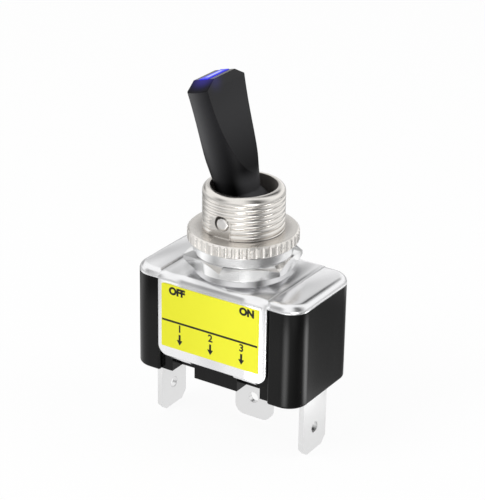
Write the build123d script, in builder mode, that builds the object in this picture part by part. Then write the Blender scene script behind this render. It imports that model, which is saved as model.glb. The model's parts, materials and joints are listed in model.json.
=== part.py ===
from build123d import *

import os
from math import cos, radians, sin, sqrt, tan

os.makedirs("parts", exist_ok=True)

# Panel toggle switch: a duckbill lever rocks in a threaded bushing, and a spring plunger in the
# lever's foot tips a contact rocker inside the body. A folded sheet frame ties it all together.
# Millimetres. +Z is up along the bushing, X runs along the body and the lever swings towards +X.
# The origin is on the bushing's axis, at the top of the frame's raised seat.

# Threaded bushing
thread_radius = 6.0  # outside of the thread, for a 12 mm panel hole
engaged_radius = 5.7  # thread at its pitch line, where the nuts fill it
bore_radius = 4.84
bushing_top = 12.15
rim_round = 0.95
thread_pitch = 0.84
thread_turns = 6  # grooves that show above the nuts
thread_depth = 0.32
thread_flank = 0.3  # half the width of a groove at its mouth
flange_radius = 6.25  # foot of the bushing, under the seat
flange_thickness = 0.8
thread_fit = 0.02  # radial gap between a nut's bore and the thread
keyway_width = 2.2
keyway_depth = 0.45
keyway_height = 1.3

# Nuts and collar on the thread
hex_across_flats = 15.05
hex_height = 2.05
hex_turn = 39.7  # bearing of a corner, degrees from X
hex_face_radius = 7.25  # round face that the chamfers leave
hex_seat_chamfer = 30.0
hex_top_chamfer = 22.0
hex_margin = 0.2  # the chamfers' cone reaches this far past the corners
collar_radius = 7.3
collar_height = 1.7
collar_round = 0.15
knurl_radius = 8.13
knurl_height = 1.85
knurl_count = 48
knurl_groove_radius = 0.34
knurl_groove_rise = 0.14  # grooves' centres outside the nut's rim
knurl_bevel = 0.3
nut_gap = 0.05  # bare step of the thread above the knurled nut

# Folded sheet frame
sheet = 1.2
seat_height = 1.0  # raised seat above the plate
seat_radius = 6.4
seat_foot_radius = 6.95
crease_depth = 0.15  # groove where an end pad meets the middle
crease_radius = 0.6
flap_width = 18.5
flap_face = 8.2  # from the middle plane to a flap's outer face
bend_radius = 1.2
inner_bend_radius = 0.25
flap_bottom = -14.05
flap_corner = 1.6
tab_width = 3.8
tab_offset = 5.65
tab_drop = 0.7
tab_bend_radius = 1.1
tab_reach = 2.5
pad_edge_round = 1.1

# Moulded housing
body_length = 28.48
body_width = 15.68
body_corner = 3.0
housing_bottom = -17.15
flap_gap = 0.06  # between the housing and a flap or tab
cavity_floor = -12.0
cavity_width = 10.6
cavity_corner = 1.5
end_wall = 1.24
card_ledge = 0.35
card_thickness = 0.8
card_gap = 0.1
edge_round = 0.35

# Terminals: 6.3 mm tabs
blade_width = 6.35
blade_thickness = 0.8
blade_tip = -27.0
blade_chamfer = 1.1
blade_hole_radius = 0.85
blade_hole_height = -23.3
blade_setback = 1.74  # middle of an outer blade from the body's end
centre_blade_x = 0.6
centre_blade_y = 3.0
centre_blade_tip = -26.6
centre_blade_round = 1.6  # corners of its end
slot_gap = 0.05
shoulder_width = 7.6
arm_width = 4.6

# Lever
lever_tilt = 15.0  # degrees either side of upright
pivot_height = 7.75
ball_radius = 4.5
neck_radius = 3.1
waist_radius = 4.16
waist_rise = 11.6
tip_radius = 5.0
tip_shoulder = 19.1
tip_rise = 20.4
tip_flat_half = 2.7
flat_start = 5.5
flat_start_half = 3.6
flat_mid_half = 2.14
tip_half_thickness = 1.76
tip_end_half = 1.69
foot_radius = 2.3
foot_length = 8.5
lens_length = 5.4
lens_width = 1.5
lens_depth = 1.2
lens_proud = 0.1
lens_gap = 0.05
lamp_length = 3.0
lamp_width = 2.0
lamp_height = 2.8
lamp_round = 0.3
channel_radius = 0.8
lead_radius = 0.25
lead_offset = 0.4

# Pivot pins
pin_radius = 1.0
pin_running_gap = 0.04
pin_inner_end = 0.8
pin_end_round = 0.45
pin_recess = 0.12  # outer end below the thread's crest
pin_hole_radius = 1.3  # countersunk mouth of the cross hole
pin_hole_depth = 0.45

# Plunger and its spring
plunger_radius = 1.3
plunger_gap = 0.1
plunger_engagement = 3.4
spring_length = 3.0
spring_wire_radius = 0.2
spring_turns = 5
spring_seat_thickness = 0.3

# Contact rocker
rocker_tilt = 8.0  # degrees either side of level
rocker_width = 3.6
rocker_strip = 0.8
rocker_underside = 0.75  # above the bead's axis
bead_radius = 0.8
bead_gap = 0.05
cradle_floor = 1.6
cradle_rim = 2.75
cradle_half_length = 4.0
cradle_slope = 0.6  # run of the cradle's outer ends
cradle_gap = 0.15
rocker_tail = 0.6  # strip beyond the cradle on the short side
rocker_margin = 0.1  # strip beyond the contact on the long side
saddle_cheek = 0.7  # wall of the saddle on either side of the bead
saddle_side = 0.2  # saddle beyond the rocker's edge
saddle_drop = 0.15  # saddle's top below the bead's axis
contact_reach = 8.4
contact_radius = 1.2
contact_head_inset = 0.15
contact_margin = 0.6  # arm beyond the fixed contact
contact_shank_radius = 0.65
contact_height = 0.7
contact_edge = 0.25  # bevel round a contact's face
contact_gap = 0.1

# Resistor and label
resistor_setback = 2.5  # from the ground terminal's blade
resistor_radius = 1.1
resistor_round = 0.3
resistor_margin = 0.4  # arm beyond the resistor
resistor_length = 4.2
resistor_lead_radius = 0.3
label_length = 16.7
label_height = 10.0
label_top = -2.5
label_shift = -0.25
label_thickness = 0.12

# Worked-out heights and planes
plate_top = -seat_height
plate_bottom = plate_top - sheet
hex_top = hex_height
collar_top = hex_top + collar_height
knurl_top = collar_top + knurl_height
thread_start = knurl_top + nut_gap
recess_face = flap_face - sheet - flap_gap
arm_top = cavity_floor + blade_thickness
card_bottom = plate_bottom - card_thickness
cavity_length = body_length - 2 * end_wall
blade_spacing = body_length / 2 - blade_setback
resistor_reach = blade_spacing - resistor_setback
rocker_end = contact_reach + contact_radius + rocker_margin

tilt = radians(lever_tilt)
lever_axis = Vector(-sin(tilt), 0, cos(tilt))
lever_side = Vector(cos(tilt), 0, sin(tilt))
pivot = Vector(0, 0, pivot_height)
lever_line = Axis(pivot, lever_axis)
lever_base = Plane(origin=pivot, x_dir=lever_side, z_dir=lever_axis)
lever_profile = Plane(origin=pivot, x_dir=lever_side, z_dir=(0, -1, 0))
lever_front = Plane(origin=pivot, x_dir=(0, 1, 0), z_dir=lever_side)

# The rocker's axis sits where its contact closes on the power terminal at the end of its swing
swing = radians(rocker_tilt)
contact_rim = contact_reach + contact_radius - contact_edge
contact_fall = contact_rim * sin(swing) - (rocker_underside - contact_height) * cos(swing)
fixed_contact_top = arm_top + contact_height
rocker_height = fixed_contact_top + contact_gap + contact_fall
rocker_base = Plane(
    origin=(0, 0, rocker_height), x_dir=(cos(swing), 0, -sin(swing)), z_dir=(sin(swing), 0, cos(swing))
)
rocker_line = Axis(rocker_base.origin, rocker_base.z_dir)
rocker_profile = Plane(
    origin=(0, 0, rocker_height), x_dir=(cos(swing), 0, -sin(swing)), z_dir=(0, -1, 0)
)

# The plunger reaches from the pivot to the cradle. The cradle's arc is the path of the plunger's
# round tip, seen from the rocker, at the middle and at the end of the lever's swing.
plunger_reach = pivot_height - (rocker_height + cradle_floor + cradle_gap)
tip_centre_reach = plunger_reach - plunger_radius
path_middle = pivot_height - tip_centre_reach - rocker_height
path_x = tip_centre_reach * sin(tilt)
path_z = pivot_height - tip_centre_reach * cos(tilt) - rocker_height
path_end_x = path_x * cos(swing) - path_z * sin(swing)
path_end_z = path_x * sin(swing) + path_z * cos(swing)
path_rise = path_end_z - path_middle
path_radius = (path_end_x**2 + path_rise**2) / (2 * path_rise)
cradle_radius = path_radius + plunger_radius + cradle_gap
cradle_centre = path_middle + path_radius


# Bushing: thread, rounded rim, plain bore and a foot that the frame's seat is clenched against.
# The thread's turns are closed rings, from the top one down.
with BuildPart() as bushing:
    with BuildSketch(Plane.XZ):
        with BuildLine():
            foot = -sheet - flange_thickness
            grooves = []
            for turn in range(thread_turns, 0, -1):
                root = thread_start + turn * thread_pitch
                grooves += [
                    (thread_radius, root + thread_flank),
                    (thread_radius - thread_depth, root),
                    (thread_radius, root - thread_flank),
                ]
            Polyline(
                (thread_radius, bushing_top - rim_round),
                *grooves,
                (thread_radius, thread_start),
                (engaged_radius, thread_start),
                (engaged_radius, -sheet),
                (flange_radius, -sheet),
                (flange_radius, foot),
                (bore_radius, foot),
                (bore_radius, bushing_top),
                (thread_radius - rim_round, bushing_top),
            )
            RadiusArc(
                (thread_radius - rim_round, bushing_top),
                (thread_radius, bushing_top - rim_round),
                rim_round,
            )
        make_face()
    revolve(axis=Axis.Z)
    with BuildSketch(Plane.XZ):
        with Locations((0, pivot_height)):
            Circle(pin_radius)
    extrude(amount=thread_radius + 1, both=True, mode=Mode.SUBTRACT)
    for side in (1, -1):
        with BuildSketch(Plane.XZ.offset(side * (thread_radius - pin_hole_depth))):
            with Locations((0, pivot_height)):
                Circle(pin_hole_radius)
        extrude(amount=side * (pin_hole_depth + 1), mode=Mode.SUBTRACT)
    with BuildSketch(Plane.XZ.offset(thread_radius - keyway_depth)):
        with Locations((0, thread_start)):
            Rectangle(keyway_width, keyway_height, align=(Align.CENTER, Align.MIN))
    extrude(amount=keyway_depth + 1, mode=Mode.SUBTRACT)
bushing.part.label = "bushing"
export_step(bushing.part, "parts/bushing.step")


# Pivot pins: two stubs in the bushing's cross hole, which leave the lever's middle free
def pivot_pin(side, name):
    """Makes the stub pin on one side, with a domed outer end."""
    outer_end = sqrt(thread_radius**2 - pin_radius**2) - pin_recess
    with BuildPart() as pin:
        with BuildSketch(Plane.XZ.offset(-side * pin_inner_end)):
            with Locations((0, pivot_height)):
                Circle(pin_radius)
        extrude(amount=-side * (outer_end - pin_inner_end))
        rim = pin.edges().filter_by(GeomType.CIRCLE).sort_by(Axis.Y)[-1 if side > 0 else 0]
        fillet(rim, pin_end_round)
    pin.part.label = name
    export_step(pin.part, f"parts/{name}.step")


pivot_pin(-1, "pivot_pin_front")
pivot_pin(1, "pivot_pin_rear")


# Hex nut: a hexagon whose corners are turned off by a cone on each face
with BuildPart() as hex_nut:
    hex_corner = hex_across_flats / 2 / cos(radians(30))
    chamfer_run = hex_corner + hex_margin - hex_face_radius
    with BuildSketch():
        RegularPolygon(hex_corner, 6, rotation=hex_turn)
        Circle(engaged_radius + thread_fit, mode=Mode.SUBTRACT)
    extrude(amount=hex_height)
    with BuildSketch(Plane.XZ):
        Polygon(
            (0, 0),
            (hex_face_radius, 0),
            (hex_face_radius + chamfer_run, chamfer_run * tan(radians(hex_seat_chamfer))),
            (hex_face_radius + chamfer_run, hex_top - chamfer_run * tan(radians(hex_top_chamfer))),
            (hex_face_radius, hex_top),
            (0, hex_top),
            align=None,
        )
    revolve(axis=Axis.Z, mode=Mode.INTERSECT)
hex_nut.part.label = "hex_nut"
export_step(hex_nut.part, "parts/hex_nut.step")


# Collar: the plain ring between the nuts
with BuildPart() as collar:
    with BuildSketch(Plane.XY.offset(hex_top)):
        Circle(collar_radius)
        Circle(engaged_radius + thread_fit, mode=Mode.SUBTRACT)
    extrude(amount=collar_height)
    rims = collar.edges().filter_by(GeomType.CIRCLE)
    fillet(rims.filter_by(lambda edge: edge.radius > thread_radius), collar_round)
collar.part.label = "collar"
export_step(collar.part, "parts/collar.step")


# Knurled nut: straight grooves round the rim, with both rims bevelled
with BuildPart() as knurled_nut:
    with BuildSketch(Plane.XY.offset(collar_top)):
        Circle(knurl_radius)
        Circle(engaged_radius + thread_fit, mode=Mode.SUBTRACT)
        with PolarLocations(knurl_radius + knurl_groove_rise, knurl_count):
            Circle(knurl_groove_radius, mode=Mode.SUBTRACT)
    extrude(amount=knurl_height)
    with BuildSketch(Plane.XZ):
        Polygon(
            (0, collar_top),
            (knurl_radius - knurl_bevel, collar_top),
            (knurl_radius, collar_top + knurl_bevel),
            (knurl_radius, knurl_top - knurl_bevel),
            (knurl_radius - knurl_bevel, knurl_top),
            (0, knurl_top),
            align=None,
        )
    revolve(axis=Axis.Z, mode=Mode.INTERSECT)
knurled_nut.part.label = "knurled_nut"
export_step(knurled_nut.part, "parts/knurled_nut.step")


# Frame: one sheet, with end pads, a raised seat, side flaps and clenched tabs
with BuildPart() as frame:
    pad_length = (body_length - flap_width) / 2
    with BuildSketch(Plane.XY.offset(plate_bottom)):
        RectangleRounded(body_length, body_width, body_corner)
        Rectangle(flap_width, body_width, mode=Mode.SUBTRACT)
    extrude(amount=sheet)
    pad_rims = frame.edges().group_by(Axis.Z)[-1]
    fillet(pad_rims.filter_by(lambda edge: abs(edge.center().X) > flap_width / 2 + 0.01), pad_edge_round)

    # The web and both flaps: an upside-down channel
    with BuildSketch(Plane.YZ) as channel:
        with Locations((0, plate_top)):
            Rectangle(2 * flap_face, plate_top - flap_bottom, align=(Align.CENTER, Align.MAX))
        fillet(channel.vertices().group_by(Axis.Y)[-1], bend_radius)
    extrude(amount=flap_width / 2, both=True)
    with BuildSketch(Plane.YZ) as inside:
        with Locations((0, plate_bottom)):
            Rectangle(
                2 * (flap_face - sheet), plate_bottom - flap_bottom, align=(Align.CENTER, Align.MAX)
            )
        fillet(inside.vertices().group_by(Axis.Y)[-1], inner_bend_radius)
    extrude(amount=flap_width / 2, both=True, mode=Mode.SUBTRACT)

    # Rounded lower corners of the flaps
    with BuildSketch(Plane.XZ):
        with GridLocations(flap_width - flap_corner, 0, 2, 1):
            with Locations((0, flap_bottom)):
                Rectangle(flap_corner, flap_corner, align=(Align.CENTER, Align.MIN))
        with GridLocations(flap_width - 2 * flap_corner, 0, 2, 1):
            with Locations((0, flap_bottom + flap_corner)):
                Circle(flap_corner, mode=Mode.SUBTRACT)
    extrude(amount=flap_face + 1, both=True, mode=Mode.SUBTRACT)

    # Tabs, folded in under the housing
    tab_bottom = flap_bottom - tab_drop
    for side in (1, -1):
        for place in (tab_offset, -tab_offset):
            with BuildSketch(Plane.YZ.offset(place - tab_width / 2)) as tab:
                with Locations((side * flap_face, tab_bottom)):
                    Rectangle(
                        sheet,
                        tab_drop + sheet,
                        align=(Align.MAX if side > 0 else Align.MIN, Align.MIN),
                    )
                    Rectangle(
                        sheet + tab_reach,
                        sheet,
                        align=(Align.MAX if side > 0 else Align.MIN, Align.MIN),
                    )
                corner = tab.vertices().group_by(Axis.Y)[0].sort_by(Axis.X)[-1 if side > 0 else 0]
                fillet(corner, tab_bend_radius)
            extrude(amount=tab_width)

    # Creases where the end pads meet the middle
    with BuildSketch(Plane.XZ):
        with GridLocations(flap_width, 0, 2, 1):
            with Locations((0, plate_top - crease_depth + crease_radius)):
                Circle(crease_radius)
    extrude(amount=body_width, both=True, mode=Mode.SUBTRACT)

    # Round raised seat, pressed up out of the plate, with the same form pressed in below
    for drop, mode in ((0, Mode.ADD), (sheet, Mode.SUBTRACT)):
        with BuildSketch(Plane.XY.offset(plate_top - drop)):
            Circle(seat_foot_radius)
        with BuildSketch(Plane.XY.offset(-drop)):
            Circle(seat_radius)
        loft(mode=mode)
    with BuildSketch():
        Circle(engaged_radius + thread_fit)
    extrude(amount=-2 * sheet, mode=Mode.SUBTRACT)
frame.part.label = "frame"
export_step(frame.part, "parts/frame.step")


# Housing: end towers, a middle that is set back for the flaps, notches for the tabs and, inside,
# the contact chamber
with BuildPart() as housing:
    housing_height = plate_bottom - housing_bottom
    with BuildSketch(Plane.XY.offset(housing_bottom)):
        RectangleRounded(body_length, body_width, body_corner)
    extrude(amount=housing_height)
    for side in (1, -1):
        with BuildSketch(Plane.XY.offset(housing_bottom)):
            with Locations((0, side * recess_face)):
                Rectangle(
                    flap_width + 2 * flap_gap,
                    body_width,
                    align=(Align.CENTER, Align.MIN if side > 0 else Align.MAX),
                )
        extrude(amount=housing_height, mode=Mode.SUBTRACT)
    tower_edges = housing.edges().filter_by(Axis.Z).filter_by(
        lambda edge: abs(abs(edge.center().Y) - body_width / 2) < 0.01
        and abs(edge.center().X) < body_length / 2 - body_corner - 0.1
    )
    fillet(tower_edges, edge_round)
    fillet(
        housing.faces().sort_by(Axis.Z)[0].edges().filter_by(
            lambda edge: abs(edge.center().X) > flap_width / 2 + 0.5
        ),
        edge_round,
    )

    shoulders = housing.edges().filter_by(Axis.X).group_by(Axis.Z)[-1]
    fillet(shoulders.filter_by(lambda edge: abs(edge.center().X) < 0.01), inner_bend_radius)

    # Notches for the tabs, open below
    notch_top = tab_bottom + sheet + flap_gap
    notch_depth = tab_reach + 2 * flap_gap
    with BuildSketch(Plane.XY.offset(housing_bottom)):
        with GridLocations(2 * tab_offset, 2 * (recess_face - notch_depth / 2), 2, 2):
            Rectangle(tab_width + 2 * flap_gap, notch_depth)
    extrude(amount=notch_top - housing_bottom, mode=Mode.SUBTRACT)

    # Contact chamber, with a ledge for the card
    with BuildSketch(Plane.XY.offset(cavity_floor)):
        RectangleRounded(cavity_length, cavity_width, cavity_corner)
    extrude(amount=plate_bottom - cavity_floor, mode=Mode.SUBTRACT)
    with BuildSketch(Plane.XY.offset(card_bottom)):
        RectangleRounded(
            cavity_length + 2 * card_ledge, cavity_width + 2 * card_ledge, cavity_corner + card_ledge
        )
    extrude(amount=card_thickness, mode=Mode.SUBTRACT)

    # Slots for the terminals
    with BuildSketch(Plane.XY.offset(housing_bottom)):
        with Locations((blade_spacing, 0), (-blade_spacing, 0)):
            Rectangle(blade_thickness + 2 * slot_gap, blade_width + 2 * slot_gap)
        with Locations((centre_blade_x, centre_blade_y)):
            Rectangle(blade_width + 2 * slot_gap, blade_thickness + 2 * slot_gap)
    extrude(amount=cavity_floor - housing_bottom, mode=Mode.SUBTRACT)
housing.part.label = "housing"
export_step(housing.part, "parts/housing.step")


# Insulator card over the contact chamber
with BuildPart() as insulator:
    with BuildSketch(Plane.XY.offset(card_bottom)):
        RectangleRounded(
            cavity_length + 2 * (card_ledge - card_gap),
            cavity_width + 2 * (card_ledge - card_gap),
            cavity_corner + card_ledge - card_gap,
        )
        Circle(bore_radius, mode=Mode.SUBTRACT)
        with Locations((resistor_reach, 0)):
            Circle(resistor_lead_radius + card_gap, mode=Mode.SUBTRACT)
    extrude(amount=card_thickness)
insulator.part.label = "insulator"
export_step(insulator.part, "parts/insulator.step")


# Terminals
def blade_outline(plane, tip, finish_corners, corner_size):
    """Draws a tab terminal's blade on a plane whose height is Z, up to the chamber's arms."""
    with BuildSketch(plane) as outline:
        with Locations((0, tip)):
            Rectangle(blade_width, arm_top - tip, align=(Align.CENTER, Align.MIN))
        finish_corners(outline.vertices().group_by(Axis.Y)[0], corner_size)
        with Locations((0, cavity_floor)):
            Rectangle(shoulder_width, blade_thickness, align=(Align.CENTER, Align.MIN))
        with Locations((0, blade_hole_height)):
            Circle(blade_hole_radius, mode=Mode.SUBTRACT)
    return outline.sketch


def outer_terminal(side, arm_end, name, contact_place=None):
    """Makes an end terminal, whose arm lies on the chamber's floor and may hold a contact."""
    with BuildPart() as terminal:
        blade_plane = Plane.YZ.offset(side * blade_spacing - blade_thickness / 2)
        extrude(blade_outline(blade_plane, blade_tip, chamfer, blade_chamfer), amount=blade_thickness)
        outer_face = blade_spacing + blade_thickness / 2
        with BuildSketch(Plane.XY.offset(cavity_floor)):
            with Locations((side * (outer_face + arm_end) / 2, 0)):
                Rectangle(outer_face - arm_end, arm_width)
            if contact_place:
                with Locations((side * contact_place, 0)):
                    Circle(contact_shank_radius, mode=Mode.SUBTRACT)
        extrude(amount=blade_thickness)
    terminal.part.label = name
    export_step(terminal.part, f"parts/{name}.step")


outer_terminal(-1, contact_reach - contact_radius - contact_margin, "power_terminal", contact_reach)
outer_terminal(1, resistor_reach - resistor_radius - resistor_margin, "ground_terminal")

# Centre terminal: its arm carries the saddle that the rocker tips on
with BuildPart() as load_terminal:
    blade_back = centre_blade_y + blade_thickness / 2
    blade_plane = Plane(origin=(centre_blade_x, blade_back, 0), x_dir=(1, 0, 0), z_dir=(0, -1, 0))
    centre_outline = blade_outline(blade_plane, centre_blade_tip, fillet, centre_blade_round)
    extrude(centre_outline, amount=blade_thickness)
    saddle_length = 2 * (bead_radius + bead_gap + saddle_cheek)
    with BuildSketch(Plane.XY.offset(cavity_floor)):
        with Locations((0, blade_back)):
            Rectangle(
                saddle_length,
                blade_back + rocker_width / 2 + saddle_side,
                align=(Align.CENTER, Align.MAX),
            )
    extrude(amount=blade_thickness)
    with BuildSketch(Plane.XY.offset(arm_top)):
        Rectangle(saddle_length, rocker_width + 2 * saddle_side)
    extrude(amount=rocker_height - saddle_drop - arm_top)
    with BuildSketch(Plane.XZ):
        with Locations((0, rocker_height)):
            Circle(bead_radius + bead_gap)
    extrude(amount=rocker_width, both=True, mode=Mode.SUBTRACT)
load_terminal.part.label = "load_terminal"
export_step(load_terminal.part, "parts/load_terminal.step")


# Fixed contact: a rivet in the power terminal's arm
with BuildPart() as fixed_contact:
    with BuildSketch(Plane(origin=(-contact_reach, 0, 0), x_dir=(1, 0, 0), z_dir=(0, -1, 0))):
        with BuildLine():
            Polyline(
                (0, fixed_contact_top),
                (0, cavity_floor),
                (contact_shank_radius - thread_fit, cavity_floor),
                (contact_shank_radius - thread_fit, arm_top),
                (contact_radius, arm_top),
                (contact_radius, fixed_contact_top - contact_edge),
                (contact_radius - contact_edge, fixed_contact_top),
                close=True,
            )
        make_face()
    revolve(axis=Axis((-contact_reach, 0, 0), (0, 0, 1)))
fixed_contact.part.label = "fixed_contact"
export_step(fixed_contact.part, "parts/fixed_contact.step")


# Contact rocker: a coined brass strip with a cradle above and a bead below that it tips on
with BuildPart() as contact_rocker:
    strip_top = rocker_underside + rocker_strip
    strip_end = cradle_half_length + cradle_slope + rocker_tail
    with BuildSketch(rocker_profile):
        Polygon(
            (-rocker_end, rocker_underside),
            (strip_end, rocker_underside),
            (strip_end, strip_top),
            (cradle_half_length + cradle_slope, strip_top),
            (cradle_half_length, cradle_rim),
            (-cradle_half_length, cradle_rim),
            (-cradle_half_length - cradle_slope, strip_top),
            (-rocker_end, strip_top),
            align=None,
        )
        with Locations((0, cradle_centre)):
            Circle(cradle_radius, mode=Mode.SUBTRACT)
        Circle(bead_radius)
        Rectangle(bead_radius, rocker_underside + 0.1, align=(Align.CENTER, Align.MIN))
    extrude(amount=rocker_width / 2, both=True)
    with BuildSketch(rocker_base.offset(rocker_underside)):
        with Locations((-contact_reach, 0)):
            Circle(contact_shank_radius)
    extrude(amount=rocker_strip, mode=Mode.SUBTRACT)
contact_rocker.part.label = "contact_rocker"
export_step(contact_rocker.part, "parts/contact_rocker.step")


# Moving contact: a rivet through the rocker's long arm
with BuildPart() as moving_contact:
    with BuildSketch(rocker_base.offset(rocker_underside - contact_height)):
        with Locations((-contact_reach, 0)):
            Circle(contact_radius)
    extrude(amount=contact_height)
    chamfer(moving_contact.faces().sort_by(rocker_line)[0].edges(), contact_edge)
    with BuildSketch(rocker_base.offset(rocker_underside)):
        with Locations((-contact_reach, 0)):
            Circle(contact_shank_radius - thread_fit)
    extrude(amount=rocker_strip)
    with BuildSketch(rocker_base.offset(strip_top)):
        with Locations((-contact_reach, 0)):
            Circle(contact_radius - contact_head_inset)
    extrude(amount=contact_height / 2, taper=30)
moving_contact.part.label = "moving_contact"
export_step(moving_contact.part, "parts/moving_contact.step")


# Lever: a turned form with a pivot ball, hollowed flanks on both sides and a chamfered tip
with BuildPart() as lever:
    ball_foot = -sqrt(ball_radius**2 - foot_radius**2)
    ball_neck = sqrt(ball_radius**2 - neck_radius**2)
    with BuildSketch(lever_profile):
        with BuildLine():
            Polyline((0, tip_rise), (0, -foot_length), (foot_radius, -foot_length), (foot_radius, ball_foot))
            ThreePointArc((foot_radius, ball_foot), (ball_radius, 0), (neck_radius, ball_neck))
            ThreePointArc((neck_radius, ball_neck), (waist_radius, waist_rise), (tip_radius, tip_shoulder))
            Polyline((tip_radius, tip_shoulder), (tip_radius, tip_rise), (0, tip_rise))
        make_face()
    revolve(axis=lever_line)
    for side in (1, -1):
        with BuildSketch(lever_profile):
            with BuildLine():
                ThreePointArc(
                    (side * flat_start_half, flat_start),
                    (side * flat_mid_half, (flat_start + tip_shoulder) / 2),
                    (side * tip_half_thickness, tip_shoulder),
                )
                Polyline(
                    (side * tip_half_thickness, tip_shoulder),
                    (side * tip_end_half, tip_rise + 1),
                    (side * (tip_radius + 1), tip_rise + 1),
                    (side * (tip_radius + 1), flat_start),
                    (side * flat_start_half, flat_start),
                )
            make_face()
        extrude(amount=tip_radius + 1, both=True, mode=Mode.SUBTRACT)
        with BuildSketch(lever_front):
            Polygon(
                (side * tip_flat_half, tip_rise),
                (side * (tip_flat_half * 2 + tip_radius), tip_rise * 2 - tip_shoulder),
                (side * (tip_radius + 1), tip_shoulder),
                (side * tip_radius, tip_shoulder),
                align=None,
            )
        extrude(amount=tip_radius + 1, both=True, mode=Mode.SUBTRACT)

    # Cross hole for the pins, and the bore for the plunger and the leads
    with BuildSketch(Plane.XZ):
        with Locations((0, pivot_height)):
            Circle(pin_radius + pin_running_gap)
    extrude(amount=ball_radius + 1, both=True, mode=Mode.SUBTRACT)
    plunger_top = -foot_length + plunger_engagement
    spring_top = plunger_top + spring_length
    bore_top = spring_top + spring_seat_thickness
    lamp_bottom = tip_rise - lens_depth - lamp_height
    with BuildSketch(lever_base.offset(-foot_length)):
        Circle(plunger_radius + plunger_gap)
    extrude(amount=foot_length + bore_top, mode=Mode.SUBTRACT)
    with BuildSketch(lever_base.offset(bore_top)):
        Circle(channel_radius)
    extrude(amount=lamp_bottom - bore_top, mode=Mode.SUBTRACT)
    with BuildSketch(lever_base.offset(lamp_bottom)):
        Rectangle(lamp_width + 2 * lens_gap, lamp_length + 2 * lens_gap)
    extrude(amount=lamp_height, mode=Mode.SUBTRACT)
    with BuildSketch(lever_base.offset(tip_rise - lens_depth)):
        Rectangle(lens_width + 2 * lens_gap, lens_length + 2 * lens_gap)
    extrude(amount=lens_depth + 1, mode=Mode.SUBTRACT)
lever.part.label = "lever"
export_step(lever.part, "parts/lever.step")


# Lens: the window strip in the tip
with BuildPart() as lens:
    with BuildSketch(lever_base.offset(tip_rise - lens_depth)):
        Rectangle(lens_width, lens_length)
    extrude(amount=lens_depth + lens_proud)
    fillet(lens.faces().sort_by(lever_line)[-1].edges(), lens_proud)
lens.part.label = "lens"
export_step(lens.part, "parts/lens.step")


# Lamp, with its leads down the lever's middle
with BuildPart() as led_lamp:
    with BuildSketch(lever_base.offset(lamp_bottom)):
        Rectangle(lamp_width, lamp_length)
    extrude(amount=lamp_height - lens_gap)
    fillet(led_lamp.edges().filter_by(lever_line), lamp_round)
led_lamp.part.label = "led_lamp"
export_step(led_lamp.part, "parts/led_lamp.step")

with BuildPart() as led_feed_lead:
    with BuildSketch(lever_base.offset(spring_top)):
        Circle(plunger_radius)
    extrude(amount=spring_seat_thickness)
    with BuildSketch(lever_base.offset(spring_top)):
        with Locations((0, -lead_offset)):
            Circle(lead_radius)
    extrude(amount=lamp_bottom - spring_top)
led_feed_lead.part.label = "led_feed_lead"
export_step(led_feed_lead.part, "parts/led_feed_lead.step")

with BuildPart() as led_ground_lead:
    with BuildSketch(lever_base.offset(-pin_radius / 2)):
        with Locations((0, lead_offset)):
            Circle(lead_radius)
    extrude(amount=lamp_bottom + pin_radius / 2)
led_ground_lead.part.label = "led_ground_lead"
export_step(led_ground_lead.part, "parts/led_ground_lead.step")


# Plunger: slides in the lever's foot, and its round tip rides in the rocker's cradle
with BuildPart() as plunger:
    with BuildSketch(lever_profile):
        with BuildLine():
            Polyline(
                (0, -plunger_reach),
                (0, plunger_top),
                (plunger_radius, plunger_top),
                (plunger_radius, -tip_centre_reach),
            )
            RadiusArc((plunger_radius, -tip_centre_reach), (0, -plunger_reach), plunger_radius)
        make_face()
    revolve(axis=lever_line)
plunger.part.label = "plunger"
export_step(plunger.part, "parts/plunger.step")


# Spring between the plunger and the seat on the feed lead
with BuildPart() as plunger_spring:
    coil_height = spring_length - 2 * spring_wire_radius
    with BuildLine() as coil:
        Helix(
            pitch=coil_height / spring_turns,
            height=coil_height,
            radius=plunger_radius - spring_wire_radius,
            center=pivot + lever_axis * (plunger_top + spring_wire_radius),
            direction=lever_axis,
        )
    with BuildSketch(Plane(origin=coil.line @ 0, z_dir=coil.line % 0)):
        Circle(spring_wire_radius)
    sweep(is_frenet=True)
plunger_spring.part.label = "plunger_spring"
export_step(plunger_spring.part, "parts/plunger_spring.step")


# Resistor: stands on the ground terminal's arm and reaches the frame through the card
with BuildPart() as led_resistor:
    resistor_middle = (arm_top + plate_bottom) / 2
    with BuildSketch(Plane.XY.offset(resistor_middle)):
        with Locations((resistor_reach, 0)):
            Circle(resistor_radius)
    extrude(amount=resistor_length / 2, both=True)
    fillet(led_resistor.edges().filter_by(GeomType.CIRCLE), resistor_round)
    with BuildSketch(Plane.XY.offset(arm_top)):
        with Locations((resistor_reach, 0)):
            Circle(resistor_lead_radius)
    extrude(amount=plate_bottom - arm_top)
led_resistor.part.label = "led_resistor"
export_step(led_resistor.part, "parts/led_resistor.step")


# Label: the sticker on the front flap
with BuildPart() as label:
    with BuildSketch(Plane.XZ.offset(flap_face)):
        with Locations((label_shift, label_top)):
            Rectangle(label_length, label_height, align=(Align.CENTER, Align.MAX))
    extrude(amount=label_thickness)
label.part.label = "label"
export_step(label.part, "parts/label.step")
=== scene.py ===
import json
import logging
from dataclasses import dataclass, field
from enum import Enum
from functools import reduce
from math import cos, pi, radians, sin

import bmesh
import bpy
from bmesh.types import BMesh, BMVert
from bpy.types import Material, Object
from mathutils import Matrix, Vector


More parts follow.
